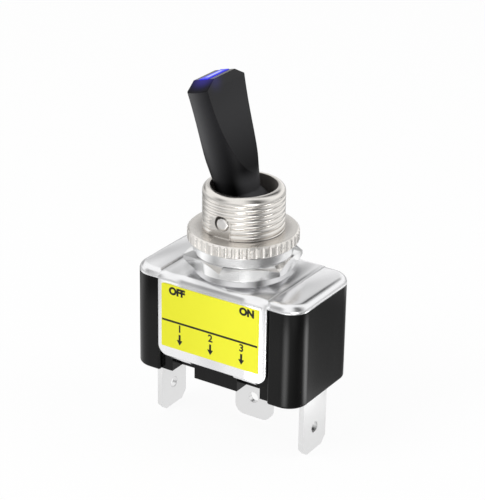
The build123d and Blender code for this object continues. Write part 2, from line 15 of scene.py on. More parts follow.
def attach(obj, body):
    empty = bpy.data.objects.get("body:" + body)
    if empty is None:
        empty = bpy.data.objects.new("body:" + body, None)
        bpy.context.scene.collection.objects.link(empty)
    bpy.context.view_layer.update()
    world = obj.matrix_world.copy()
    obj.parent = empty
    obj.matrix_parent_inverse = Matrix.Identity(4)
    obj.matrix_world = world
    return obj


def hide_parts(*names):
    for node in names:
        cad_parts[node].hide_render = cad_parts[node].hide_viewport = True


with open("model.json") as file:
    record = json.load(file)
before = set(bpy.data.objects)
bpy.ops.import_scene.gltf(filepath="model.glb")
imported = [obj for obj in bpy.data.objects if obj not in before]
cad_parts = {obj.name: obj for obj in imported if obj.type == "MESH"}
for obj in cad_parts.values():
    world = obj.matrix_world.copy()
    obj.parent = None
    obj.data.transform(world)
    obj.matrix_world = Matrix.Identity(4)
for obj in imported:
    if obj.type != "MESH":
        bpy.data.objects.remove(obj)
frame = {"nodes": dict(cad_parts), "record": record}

# Looks of the panel toggle switch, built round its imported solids. Lengths are in metres, in the
# solids' own frame: +Z up the bushing, +X towards the ground terminal, -Y out of the label.
# Bearings are in degrees round +Z, 0 towards -Y and 90 towards +X, and a wedge is a middle bearing
# and a half width.

log = logging.getLogger("toggle_switch")

MM = 0.001
PIVOT_HEIGHT = 7.75 * MM
LEVER_TILT = radians(15.0)
LEVER_AXIS = Vector((-sin(LEVER_TILT), 0.0, cos(LEVER_TILT)))
LEVER_SIDE = Vector((cos(LEVER_TILT), 0.0, sin(LEVER_TILT)))
BORE_RADIUS = 4.84 * MM
MOUTH_RADIUS = 1.3 * MM
STAND_UP = Matrix.Rotation(pi / 2, 4, "X")
WELD_GAP = 1e-7
# The body that carries every piece made here; the solids keep their own.
SWITCH_BODY = "body"
WHITE = (1.0, 1.0, 1.0, 1.0)
BEVEL_RAYS = 6
# How many finer layers a noise has, and how strong each is beside the last.
COARSE = 2.0
FINE = 3.0
FADE = 0.55

Colour = tuple[float, float, float]
Cells = float | tuple[float, float, float]
Pair = tuple[float, float]
Span = Pair
Wedge = Pair

RIGHT_GAP: Wedge = (72, 48)
LEFT_GAP: Wedge = (-116, 34)


class Slot(Enum):
    """The record's material slots."""

    BLACK_PLASTIC = "black_plastic"
    BLACK_MOULDING = "black_moulding"
    LIT_WINDOW = "lit_window"
    LAMP_RESIN = "lamp_resin"
    NICKEL = "nickel"
    PLATED_SHEET = "plated_sheet"
    STEEL = "steel"
    TINNED_BRASS = "tinned_brass"
    CONTACT_METAL = "contact_metal"
    BRASS = "brass"
    FIBRE_CARD = "fibre_card"
    RESISTOR_LACQUER = "resistor_lacquer"
    YELLOW_VINYL = "yellow_vinyl"


class Socket:
    """A number in a shader, with the usual arithmetic."""

    def __init__(self, sheet: "NodeSheet", output: bpy.types.NodeSocket) -> None:
        """Keeps the sheet that the number belongs to, and its output."""
        self.sheet = sheet
        self.output = output

    def _math(self, operation: str, *values: object) -> "Socket":
        """Adds a Math node with the given numbers."""
        return self.sheet.node("ShaderNodeMath", {"operation": operation}, dict(enumerate(values)))

    def __add__(self, other: object) -> "Socket":
        """Adds."""
        return self._math("ADD", self, other)

    __radd__ = __add__

    def __sub__(self, other: object) -> "Socket":
        """Subtracts."""
        return self._math("SUBTRACT", self, other)

    def __rsub__(self, other: object) -> "Socket":
        """Subtracts this number from another."""
        return self._math("SUBTRACT", other, self)

    def __mul__(self, other: object) -> "Socket":
        """Multiplies."""
        return self._math("MULTIPLY", self, other)

    __rmul__ = __mul__

    def __truediv__(self, other: object) -> "Socket":
        """Divides."""
        return self._math("DIVIDE", self, other)

    def absolute(self) -> "Socket":
        """Drops the sign."""
        return self._math("ABSOLUTE", self)

    def power(self, exponent: float) -> "Socket":
        """Raises to a power."""
        return self._math("POWER", self, exponent)

    def largest(self, other: object) -> "Socket":
        """Takes the larger of two numbers."""
        return self._math("MAXIMUM", self, other)

    def wrap(self, low: float, high: float) -> "Socket":
        """Brings a number back between two limits by whole spans."""
        return self._math("WRAP", self, high, low)

    def angle_from(self, other: object) -> "Socket":
        """Gives the angle whose tangent is this number over the other."""
        return self._math("ARCTAN2", self, other)

    def smooth(self, low: float, high: float) -> "Socket":
        """Rises smoothly from 0 to 1.

        Args:
            low: Where the rise starts.
            high: Where it ends; below low, it falls instead.

        Returns:
            The smoothed number.
        """
        start, end = (1.0, 0.0) if high < low else (0.0, 1.0)
        low, high = sorted((low, high))
        values = {"Value": self, "From Min": low, "From Max": high, "To Min": start, "To Max": end}
        return self.sheet.node("ShaderNodeMapRange", {"interpolation_type": "SMOOTHSTEP"}, values)

    def between(self, low: float, high: float, soft: float = 0.1) -> "Socket":
        """Gives 1 between two values and 0 outside them; soft is half the width of each end."""
        return self.smooth(low - soft, low + soft) * self.smooth(high + soft, high - soft)


class NodeSheet:
    """A node tree that is being written."""

    def __init__(self, tree: bpy.types.NodeTree) -> None:
        """Empties the tree."""
        self.tree = tree
        tree.nodes.clear()

    def node(
        self,
        kind: str,
        settings: dict | None = None,
        sockets: dict | None = None,
        output: object = 0,
    ) -> Socket | None:
        """Adds a node.

        Args:
            kind: The node's type.
            settings: Properties of the node, set first.
            sockets: Values or links, by the input's name or number.
            output: The name or number of the output that is wanted.

        Returns:
            That output, or None for a node that has none.
        """
        made = self.tree.nodes.new(kind)
        for name, value in (settings or {}).items():
            setattr(made, name, value)
        for name, value in (sockets or {}).items():
            if isinstance(value, Socket):
                self.tree.links.new(value.output, made.inputs[name])
            else:
                made.inputs[name].default_value = value
        return Socket(self, made.outputs[output]) if made.outputs else None

    def axes(self, space: str = "Object") -> tuple[Socket, Socket, Socket]:
        """Gives a point's place along X, Y and Z.

        Args:
            space: The coordinates that are read; the world has none but Generated.

        Returns:
            The three numbers.
        """
        place = self.node("ShaderNodeTexCoord", output=space)
        parts = self.node("ShaderNodeSeparateXYZ", sockets={0: place}).output.node
        return tuple(Socket(self, parts.outputs[index]) for index in range(3))

    def off_axis(self) -> Socket:
        """Gives a point's distance from the Z axis."""
        x, y, _ = self.axes()
        return length(x, y)

    def rays(self) -> tuple[Socket, Socket]:
        """Tells rays apart.

        Returns:
            1 for the camera's own rays, and 1 for those that metal, gloss or glass send on.
        """
        path = self.node("ShaderNodeLightPath").output.node
        seen = Socket(self, path.outputs["Is Camera Ray"])
        glossy = Socket(self, path.outputs["Is Glossy Ray"])
        through = Socket(self, path.outputs["Is Transmission Ray"])
        return seen, glossy.largest(through)

    def noise(self, cells: Cells, detail: float = COARSE) -> Socket:
        """Gives a noise from 0 to 1.

        Args:
            cells: Noise cells per metre, one number or one along each axis.
            detail: How many finer layers it has.

        Returns:
            The noise.
        """
        scale = cells if isinstance(cells, tuple) else (cells,) * 3
        place = self.node("ShaderNodeTexCoord", output="Object")
        stretched = self.node("ShaderNodeMapping", sockets={"Vector": place, "Scale": scale})
        values = {"Vector": stretched, "Scale": 1.0, "Detail": detail, "Roughness": FADE}
        return self.node("ShaderNodeTexNoise", sockets=values, output="Fac")

    def blend(self, factor: object, first: object, second: object) -> Socket:
        """Mixes two colours.

        Args:
            factor: 0 gives the first and 1 the second.
            first: A colour or a link.
            second: A colour or a link.

        Returns:
            The mixed colour.
        """
        sockets = {0: factor}
        for index, colour in ((6, first), (7, second)):
            sockets[index] = colour if isinstance(colour, Socket) else (*colour, 1.0)
        return self.node("ShaderNodeMix", {"data_type": "RGBA"}, sockets, output=2)

    def rounded_normal(self, radius: float, height: Socket) -> Socket:
        """Gives a normal with softened edges and a relief.

        Args:
            radius: The size of the softened edges.
            height: The relief, in millimetres.

        Returns:
            The normal.
        """
        soft = self.node("ShaderNodeBevel", {"samples": BEVEL_RAYS}, {"Radius": radius})
        values = {"Strength": 1.0, "Distance": MM, "Height": height, "Normal": soft}
        return self.node("ShaderNodeBump", sockets=values)


def new_material(name: str) -> tuple[Material, NodeSheet]:
    """Starts a material.

    Args:
        name: The finish's name.

    Returns:
        The material and its empty sheet of nodes.
    """
    material = bpy.data.materials.new(name)
    material.use_nodes = True
    return material, NodeSheet(material.node_tree)


def close_surface(sheet: NodeSheet, sockets: dict) -> None:
    """Ends a material with one Principled shader of these values and links."""
    shader = sheet.node("ShaderNodeBsdfPrincipled", sockets=sockets)
    sheet.node("ShaderNodeOutputMaterial", sockets={"Surface": shader})


def length(*parts: Socket) -> Socket:
    """Gives the length of a vector in a shader, from its parts."""
    return reduce(Socket.__add__, [part.power(2.0) for part in parts]).power(0.5)


def lever_place(sheet: NodeSheet) -> tuple[Socket, Socket, Socket]:
    """Gives a point's place on the lever.

    Args:
        sheet: The material's nodes.

    Returns:
        Its height up the lever from the pivot, its place to the ON side, and its Y.
    """
    x, y, z = sheet.axes()
    rise = x * LEVER_AXIS.x + (z - PIVOT_HEIGHT) * LEVER_AXIS.z
    side = x * LEVER_SIDE.x + (z - PIVOT_HEIGHT) * LEVER_SIDE.z
    return rise, side, y


@dataclass(frozen=True)
class Plating:
    """A bright metal: faint cloudiness, fine grain and softened edges."""

    name: str
    colour: Colour
    roughness: float
    cloud_size: float = 4.0 * MM
    cloud_ends: Span = (0.35, 0.7)
    clear_dulling: float = 0.95
    cloud_dulling: float = 0.12
    grain_size: float = 0.15 * MM
    grain_depth: float = 0.0005
    grain_dulling: float = 0.02
    edge_radius: float = 0.1 * MM

    def tone(self, sheet: NodeSheet) -> Socket | tuple:
        """Gives the metal's colour over the piece."""
        return (*self.colour, 1.0)

    def metal(self, sheet: NodeSheet) -> Socket | float:
        """Gives how bare the metal is over the piece, from 0 to 1."""
        return 1.0

    def relief(self, sheet: NodeSheet) -> Socket | float:
        """Gives the height of the piece's soft swellings, in millimetres."""
        return 0.0

    def build(self) -> Material:
        """Makes the material.

        Returns:
            The material.
        """
        material, sheet = new_material(self.name)
        cloud = sheet.noise(1 / self.cloud_size).smooth(*self.cloud_ends)
        grain = sheet.noise(1 / self.grain_size)
        dulling = self.clear_dulling + self.cloud_dulling * cloud
        close_surface(sheet, {
            "Base Color": self.tone(sheet),
            "Metallic": self.metal(sheet),
            "Roughness": self.roughness * dulling + self.grain_dulling * (grain - 0.5),
            "Normal": sheet.rounded_normal(
                self.edge_radius, grain * self.grain_depth + self.relief(sheet)
            ),
        })
        return material


@dataclass(frozen=True)
class BushingNickel(Plating):
    """The bushing's warm nickel: dull inside the bore, with painted shade darkening the bore's
    wall, and a painted shadow in the gap round the pins, on its upper left side.
    """

    # Painted shade: the colour of the bore's wall, darker than the plating.
    bore_colour: Colour = (0.24, 0.222, 0.21)
    bore_ends: Span = (BORE_RADIUS + 0.1 * MM, BORE_RADIUS + 0.04 * MM)
    bore_dulling: float = 0.8
    # Painted shadow: the colour of the gap round the pins and how it fades to one side.
    gap_colour: Colour = (0.06, 0.055, 0.05)
    gap_ends: Span = (MOUTH_RADIUS + 0.04 * MM, MOUTH_RADIUS + 0.01 * MM)
    gap_rise: float = 0.5
    gap_side: float = 0.85
    gap_fade: Span = (-0.5 * MM, 0.9 * MM)

    def inside(self, sheet: NodeSheet) -> Socket:
        """Gives 1 on the bore's wall and 0 outside it."""
        return sheet.off_axis().smooth(*self.bore_ends)

    def tone(self, sheet: NodeSheet) -> Socket:
        """Gives the metal's colour over the piece.

        Args:
            sheet: The material's nodes.

        Returns:
            The colour.
        """
        x, _, z = sheet.axes()
        rise = z - PIVOT_HEIGHT
        # Painted shadow in the pins' mouths, on their upper left side only.
        upper_left = (rise * self.gap_rise - x * self.gap_side).smooth(*self.gap_fade)
        gap = length(x, rise).smooth(*self.gap_ends) * upper_left
        # Painted shade darkens the bore's wall, which is also less metallic.
        walls = sheet.blend(self.inside(sheet), self.colour, self.bore_colour)
        # The painted shadow goes over the walls.
        return sheet.blend(gap, walls, self.gap_colour)

    def metal(self, sheet: NodeSheet) -> Socket:
        """Gives how bare the metal is over the piece, from 0 to 1."""
        return 1.0 - self.bore_dulling * self.inside(sheet)


@dataclass(frozen=True)
class KnurledNickel(Plating):
    """The knurled nut's warm nickel, with painted shade darkening its top where it meets the
    thread.
    """

    # Painted shade: the colour next to the thread.
    inner_colour: Colour = (0.6, 0.57, 0.54)
    inner_radius: float = 6.1 * MM
    outer_radius: float = 7.5 * MM

    def tone(self, sheet: NodeSheet) -> Socket:
        """Gives the metal's colour over the piece."""
        outer = sheet.off_axis().smooth(self.inner_radius, self.outer_radius)
        # Painted shade: darker towards the thread.
        return sheet.blend(outer, self.inner_colour, self.colour)


@dataclass(frozen=True)
class FacetedNickel(Plating):
    """The hex nut's plating, on facets that swell a little beside their middle."""

    facet_turn: float = radians(9.7)
    half_facet: float = radians(30)
    swell: float = 0.8
    swell_side: float = radians(11.0)

    def relief(self, sheet: NodeSheet) -> Socket:
        """Gives the height of the piece's soft swellings.

        Args:
            sheet: The material's nodes.

        Returns:
            The height in millimetres.
        """
        x, y, _ = sheet.axes()
        turn = (y.angle_from(x) - self.facet_turn).wrap(-self.half_facet, self.half_facet)
        return ((turn - self.swell_side) / self.half_facet).power(2.0) * -self.swell


@dataclass(frozen=True)
class PressedSheet(Plating):
    """The frame's plated sheet: pillowed, soft towards its two creases and crowned on its ends,
    with painted shade round the nut's seat.
    """

    pillow: float = 0.5
    half_depth: float = 7.84 * MM
    crease: float = 9.25 * MM
    middle_fall: float = 1.0
    fall_reach: float = 4.2 * MM
    end_crown: float = 0.22
    end_half: float = 2.5 * MM
    # Painted shade: the colour of the seat's flank round the nut.
    seat_colour: Colour = (0.76, 0.76, 0.77)
    seat_ends: Span = (8.8 * MM, 7.8 * MM)

    def tone(self, sheet: NodeSheet) -> Socket:
        """Gives the metal's colour over the piece, darker on the raised seat's flank round the nut:
        painted shade.
        """
        shaded_flank = sheet.off_axis().smooth(*self.seat_ends)
        return sheet.blend(shaded_flank, self.colour, self.seat_colour)

    def relief(self, sheet: NodeSheet) -> Socket:
        """Gives the height of the piece's soft swellings.

        Args:
            sheet: The material's nodes.

        Returns:
            The height in millimetres.
        """
        x, y, _ = sheet.axes()
        past = x.absolute() - self.crease
        middle = past.smooth(-self.fall_reach, 0.0) * self.middle_fall
        crown = (1.0 - (past / self.end_half - 1.0).power(2.0)).largest(0.0)
        return (y / self.half_depth).power(2.0) * -self.pillow - middle + crown * self.end_crown


@dataclass(frozen=True)
class Moulding:
    """The body's glossy black plastic: even, with faint flow marks and softened edges."""

    name: str = "gloss_black"
    colour: Colour = (0.004, 0.004, 0.004)
    roughness: float = 0.15
    specular: float = 0.17
    edge_radius: float = 0.12 * MM
    flow_cells: Cells = (180.0, 180.0, 90.0)
    flow_ends: Span = (0.3, 0.75)
    flow_gain: float = 1.25
    flow_lift: float = 0.002
    calm_dulling: float = 0.9
    flow_dulling: float = 0.25
    grain_size: float = 0.2 * MM
    grain_depth: float = 0.0006

    def build(self) -> Material:
        """Makes the material.

        Returns:
            The material.
        """
        material, sheet = new_material(self.name)
        flow = sheet.noise(self.flow_cells)
        grain = sheet.noise(1 / self.grain_size)
        lighter = tuple(part * self.flow_gain + self.flow_lift for part in self.colour)
        close_surface(sheet, {
            "Base Color": sheet.blend(flow.smooth(*self.flow_ends), self.colour, lighter),
            "Roughness": self.roughness * (self.calm_dulling + self.flow_dulling * flow),
            "Specular IOR Level": self.specular,
            "Normal": sheet.rounded_normal(self.edge_radius, grain * self.grain_depth),
        })
        return material


@dataclass(frozen=True)
class LeverPlastic:
    """The lever's satin black, glossier towards its tip, with painted light that lightens it
    towards its tip and greys its narrow faces' OFF side and its root, and a painted blue glow of
    the lamp round its window.
    """

    name: str = "satin_black"
    colour: Colour = (0.001, 0.001, 0.001)
    # Painted light: the black is lighter towards the tip.
    upper_colour: Colour = (0.009, 0.009, 0.011)
    upper_ends: Span = (2.0 * MM, 16.0 * MM)
    # Painted light: the grey of the narrow faces' OFF side and of the root.
    scuffed_colour: Colour = (0.06, 0.06, 0.063)
    unlit: Colour = (0.0, 0.0, 0.0)
    # Painted glow: the lamp's blue light on the lever round the window.
    tint: Colour = (0.025, 0.018, 0.2)
    tint_ends: Span = (3.6 * MM, 0.5 * MM)
    tint_power: float = 2.5
    window_end: float = 2.4 * MM
    tip_rise: float = 20.4 * MM
    chamfer_fall: float = 0.565
    chamfer_rise: float = 21.93 * MM
    chamfer_ends: Span = (-0.12 * MM, -0.04 * MM)
    chamfer_dulling: float = 0.85
    edge_depth: Span = (2.6 * MM, 4.0 * MM)
    edge_side: Span = (1.8 * MM, -1.3 * MM)
    edge_top: Span = (19.2 * MM, 19.0 * MM)
    edge_least: float = 0.4
    root_wear: float = 0.85
    root_side: Span = (1.3 * MM, 3.0 * MM)
    root_rise: Span = (7.0 * MM, 4.5 * MM)
    roughness: float = 0.4
    flow_cells: Cells = (160.0, 160.0, 60.0)
    flow_dulling: float = 0.06
    grain_cells: float = 7000.0
    grain_depth: float = 0.0006
    specular: float = 0.02
    coat_roughness: float = 0.3
    coat_ior: float = 1.3
    edge_radius: float = 0.3 * MM

    def scuffs(self, rise: Socket, side: Socket, depth: Socket, upper: Socket) -> Socket:
        """Gives where painted light greys the plastic, on the OFF side of its narrow faces and at
        its root on the ON side.

        Args:
            rise: The height up the lever.
            side: The place to the ON side.
            depth: The distance from the lever's middle plane.
            upper: 0 at the root, rising to 1 towards the tip.

        Returns:
            0 where it is plain, to 1 where it is greyest.
        """
        edge = depth.smooth(*self.edge_depth) * side.smooth(*self.edge_side)
        share = self.edge_least + (1.0 - self.edge_least) * upper
        edge = edge * rise.smooth(*self.edge_top) * share
        root = self.root_wear * side.smooth(*self.root_side) * rise.smooth(*self.root_rise)
        return edge.largest(root)

    def build(self) -> Material:
        """Makes the material.

        Returns:
            The material.
        """
        material, sheet = new_material(self.name)
        rise, side, y = lever_place(sheet)
        depth = y.absolute()
        upper = rise.smooth(*self.upper_ends)
        # Painted light makes the black lighter towards the tip.
        plain = sheet.blend(upper, self.colour, self.upper_colour)
        # Painted light greys the narrow faces' OFF side and the root's ON side.
        painted_lit = self.scuffs(rise, side, depth, upper)
        off_window = length(y + self.window_end, side, rise - self.tip_rise)
        # Painted glow: the lever itself emits blue round the window.
        glow = off_window.smooth(*self.tint_ends).power(self.tint_power)
        past_chamfer = rise + depth * self.chamfer_fall - self.chamfer_rise
        chamfer = past_chamfer.smooth(*self.chamfer_ends)
        grain = sheet.noise(self.grain_cells)
        close_surface(sheet, {
            # The painted light goes over the black.
            "Base Color": sheet.blend(painted_lit, plain, self.scuffed_colour),
            "Roughness": self.roughness + self.flow_dulling * sheet.noise(self.flow_cells),
            "Specular IOR Level": self.specular,
            "Coat Weight": upper * (1.0 - self.chamfer_dulling * chamfer),
            "Coat Roughness": self.coat_roughness,
            "Coat IOR": self.coat_ior,
            # Painted glow of the lamp, as the lever's own emission.
            "Emission Color": sheet.blend(glow, self.unlit, self.tint),
            "Emission Strength": 1.0,
            "Normal": sheet.rounded_normal(self.edge_radius, grain * self.grain_depth),
        })
        return material


@dataclass(frozen=True)
class LitWindow:
    """The window strip, lit from behind: pale along its middle and deep blue at its rim."""

    name: str = "lit_blue_window"
    rim: Colour = (0.02, 0.02, 0.3)
    core: Colour = (0.2, 0.2, 0.6)
    lit_rim: Colour = (0.025, 0.025, 0.5)
    lit_core: Colour = (0.34, 0.38, 1.0)
    strength: float = 1.15
    core_side: Span = (0.4 * MM, 0.05 * MM)
    core_depth: Span = (2.2 * MM, 1.4 * MM)
    roughness: float = 0.18
    mottle_dulling: float = 0.05
    mottle_cells: float = 900.0
    specular: float = 0.03

    def build(self) -> Material:
        """Makes the material.

        Returns:
            The material.
        """
        material, sheet = new_material(self.name)
        _, side, y = lever_place(sheet)
        core = side.absolute().smooth(*self.core_side) * y.absolute().smooth(*self.core_depth)
        mottle = sheet.noise(self.mottle_cells, FINE)
        close_surface(sheet, {
            "Base Color": sheet.blend(core, self.rim, self.core),
            "Roughness": self.roughness + self.mottle_dulling * mottle,
            "Specular IOR Level": self.specular,
            "Emission Color": sheet.blend(core, self.lit_rim, self.lit_core),
            "Emission Strength": self.strength,
        })
        return material


@dataclass(frozen=True)
class Vinyl:
    """The sticker's yellow sheet, a little lighter towards its right end."""

    name: str = "yellow_sheet"
    left: Colour = (0.82, 0.81, 0.02)
    right: Colour = (0.96, 0.94, 0.035)
    ends: Span = (-9.0 * MM, 8.0 * MM)
    mottle_share: float = 0.1
    mottle_cells: float = 1500.0
    mottle_dulling: float = 0.06
    mottle_depth: float = 0.0008
    roughness: float = 0.5
    specular: float = 0.35
    edge_radius: float = 0.03 * MM

    def build(self) -> Material:
        """Makes the material.

        Returns:
            The material.
        """
        material, sheet = new_material(self.name)
        x, _, _ = sheet.axes()
        mottle = sheet.noise(self.mottle_cells)
        even = x.smooth(*self.ends) * (1.0 - self.mottle_share)
        place = even + self.mottle_share * mottle
        close_surface(sheet, {
            "Base Color": sheet.blend(place, self.left, self.right),
            "Roughness": self.roughness + self.mottle_dulling * mottle,
            "Specular IOR Level": self.specular,
            "Normal": sheet.rounded_normal(self.edge_radius, mottle * self.mottle_depth),
        })
        return material


@dataclass(frozen=True)
class Matt:
    """A dull finish with a mottled colour, for card, lacquer, resin and ink."""

    name: str
    colour: Colour
    second: Colour
    roughness: float
    grain_size: float = 0.25 * MM
    grain_ends: Span = (0.3, 0.7)
    grain_dulling: float = 0.1
    specular: float = 0.3

    def build(self) -> Material:
        """Makes the material.

        Returns:
            The material.
        """
        material, sheet = new_material(self.name)
        grain = sheet.noise(1 / self.grain_size, FINE)
        close_surface(sheet, {
            "Base Color": sheet.blend(grain.smooth(*self.grain_ends), self.colour, self.second),
            "Roughness": self.roughness + self.grain_dulling * (grain - 0.5),
            "Specular IOR Level": self.specular,
        })
        return material


def link_shape(name: str, shape: BMesh) -> Object:
    """Makes an object of a finished shape.

    Args:
        name: The object's name.
        shape: The shape, in place; it is freed.

    Returns:
        The object, in the scene.
    """
    mesh = bpy.data.meshes.new(name)
    shape.to_mesh(mesh)
    shape.free()
    made = bpy.data.objects.new(name, mesh)
    bpy.context.scene.collection.objects.link(made)
    return made


def place_piece(name: str, shape: BMesh, material: Material) -> Object:
    """Turns a finished shape into a piece of the switch's unmoving body.

    Args:
        name: The piece's name.
        shape: The shape, in place; it is freed.
        material: Its finish.

    Returns:
        The piece.
    """
    piece = link_shape(name, shape)
    piece.data.materials.append(material)
    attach(piece, SWITCH_BODY)
    log.info("%s: %d faces", name, len(piece.data.polygons))
    return piece


def smooth_below(shape: BMesh, angle: float) -> None:
    """Shades faces smooth and keeps edges sharper than the angle crisp.

    Args:
        shape: The shape.
        angle: The largest angle between faces that is still smooth, in radians.
    """
    for face in shape.faces:
        face.smooth = True
    for edge in shape.edges:
        edge.smooth = not edge.is_manifold or edge.calc_face_angle(0.0) < angle


@dataclass
class ThreadedBushing:
    """The bushing with its cut thread, rounded rim, cross hole and the flat pressed by the pin."""

    thread_radius: float = 6.0 * MM
    root_depth: float = 0.2 * MM
    pitch: float = 0.84 * MM
    groove_power: float = 2.5
    run_in: float = 0.4
    run_out: float = 0.5
    front_angle: float = radians(-47.5)
    engaged_radius: float = 5.7 * MM
    thread_start: float = 5.65 * MM
    thread_end: float = 11.2 * MM
    top: float = 12.15 * MM
    rim_round: float = 0.95 * MM
    rim_faces: int = 8
    bore_round: float = 0.14 * MM
    bore_faces: int = 3
    smooth_angle: float = radians(75)
    seat: float = -1.2 * MM
    foot: float = -2.0 * MM
    flange_radius: float = 6.25 * MM
    segments: int = 180
    rows: int = 104
    flat_depth: float = 0.5 * MM
    flat_left: float = -2.3 * MM
    flat_right: float = 1.3 * MM
    flat_top: float = 8.6 * MM
    hole_radius: float = 1.02 * MM
    hole_length: float = 16.0 * MM
    mouth_place: float = 6.55 * MM
    mouth_length: float = 2.0 * MM
    hole_segments: int = 48
    slack: float = 2e-6

    def thread_depth(self, angle: float, height: float) -> float:
        """Gives how deep the thread is cut at a place on the wall.

        Args:
            angle: The place's angle round the bushing.
            height: Its height.

        Returns:
            The depth, from 0 on the crest.
        """
        turns = (height - self.thread_start) / self.pitch - (angle - self.front_angle) / (2 * pi)
        groove = (0.5 + 0.5 * cos(2 * pi * turns)) ** self.groove_power
        run_in = (height - self.thread_start) / (self.run_in * self.pitch)
        run_out = (self.thread_end - height) / (self.run_out * self.pitch)
        return self.root_depth * groove * max(0.0, min(1.0, run_in, run_out))

    def turned_shape(self) -> BMesh:
        """Turns the bushing from its section, with rows of faces where the thread goes.

        Returns:
            The bushing, still plain.
        """
        shape = bmesh.new()
        section = [
            (self.thread_radius, self.thread_start), (self.engaged_radius, self.thread_start),
            (self.engaged_radius, self.seat), (self.flange_radius, self.seat),
            (self.flange_radius, self.foot), (BORE_RADIUS, self.foot),
            (BORE_RADIUS, self.top), (self.thread_radius, self.top),
            (self.thread_radius, self.thread_end),
        ]
        corners = [shape.verts.new((radius, 0.0, height)) for radius, height in section]
        edges = [shape.edges.new(pair) for pair in zip(corners, corners[1:])]
        wall = shape.edges.new((corners[-1], corners[0]))
        bmesh.ops.subdivide_edges(shape, edges=[wall], cuts=self.rows)
        bmesh.ops.spin(
            shape, geom=shape.verts[:] + shape.edges[:], cent=(0, 0, 0), axis=(0, 0, 1),
            dvec=(0, 0, 0), angle=2 * pi, steps=self.segments, use_merge=True, use_duplicate=False,
        )
        bmesh.ops.remove_doubles(shape, verts=shape.verts[:], dist=WELD_GAP)
        self.round_ring(shape, self.thread_radius, self.rim_round, self.rim_faces)
        self.round_ring(shape, BORE_RADIUS, self.bore_round, self.bore_faces)
        bmesh.ops.recalc_face_normals(shape, faces=shape.faces[:])
        return shape

    def round_ring(self, shape: BMesh, radius: float, size: float, segments: int) -> None:
        """Rounds a ring of edges at the bushing's top.

        Args:
            shape: The turned shape.
            radius: The ring's radius.
            size: The round's radius.
            segments: How many faces the round has.
        """
        ring = [
            edge for edge in shape.edges
            if all(
                abs(corner.co.z - self.top) < self.slack
                and abs(corner.co.xy.length - radius) < self.slack
                for corner in edge.verts
            )
        ]
        bmesh.ops.bevel(
            shape, geom=ring, offset=size, offset_type="OFFSET", segments=segments, profile=0.5,
            affect="EDGES", material=-1, clamp_overlap=False,
        )

    def cut_thread(self, shape: BMesh) -> None:
        """Sinks the thread, and presses the flat beside the pin on the label's side.

        Args:
            shape: The turned shape.
        """
        flat = -(self.thread_radius - self.flat_depth)
        for corner in shape.verts:
            on_wall = abs(corner.co.xy.length - self.thread_radius) < self.slack
            if not on_wall or not self.thread_start < corner.co.z < self.thread_end:
                continue
            angle = Vector((1.0, 0.0)).angle_signed(corner.co.xy, 0.0)
            depth = self.thread_depth(-angle, corner.co.z)
            corner.co.xy *= 1.0 - depth / self.thread_radius
            inside = self.flat_left < corner.co.x < self.flat_right and corner.co.y < 0.0
            if inside and corner.co.z < self.flat_top:
                corner.co.y = max(corner.co.y, flat)

    def drill(self, piece: Object) -> None:
        """Cuts the pins' cross hole, with its wider mouths.

        Args:
            piece: The bushing; its mesh is changed.
        """
        cutters = bmesh.new()
        mouths = [(MOUTH_RADIUS, side * self.mouth_place, self.mouth_length) for side in (1, -1)]
        for radius, place, depth in [(self.hole_radius, 0.0, self.hole_length), *mouths]:
            bmesh.ops.create_cone(
                cutters, cap_ends=True, segments=self.hole_segments,
                radius1=radius, radius2=radius, depth=depth,
                matrix=Matrix.Translation((0, place, PIVOT_HEIGHT)) @ STAND_UP,
            )
        tool = link_shape("cross_hole", cutters)
        cut = piece.modifiers.new("cross_hole", "BOOLEAN")
        cut.object = tool
        cut.solver = "EXACT"
        cut.use_self = True
        graph = bpy.context.evaluated_depsgraph_get()
        drilled = bpy.data.meshes.new_from_object(piece.evaluated_get(graph))
        piece.modifiers.clear()
        piece.data = drilled
        bpy.data.objects.remove(tool)

    def build(self, material: Material) -> None:
        """Makes the bushing in place of the plain one.

        Args:
            material: Its finish.
        """
        shape = self.turned_shape()
        self.cut_thread(shape)
        smooth_below(shape, self.smooth_angle)
        piece = place_piece("threaded_bushing", shape, material)
        self.drill(piece)
        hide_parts("bushing")


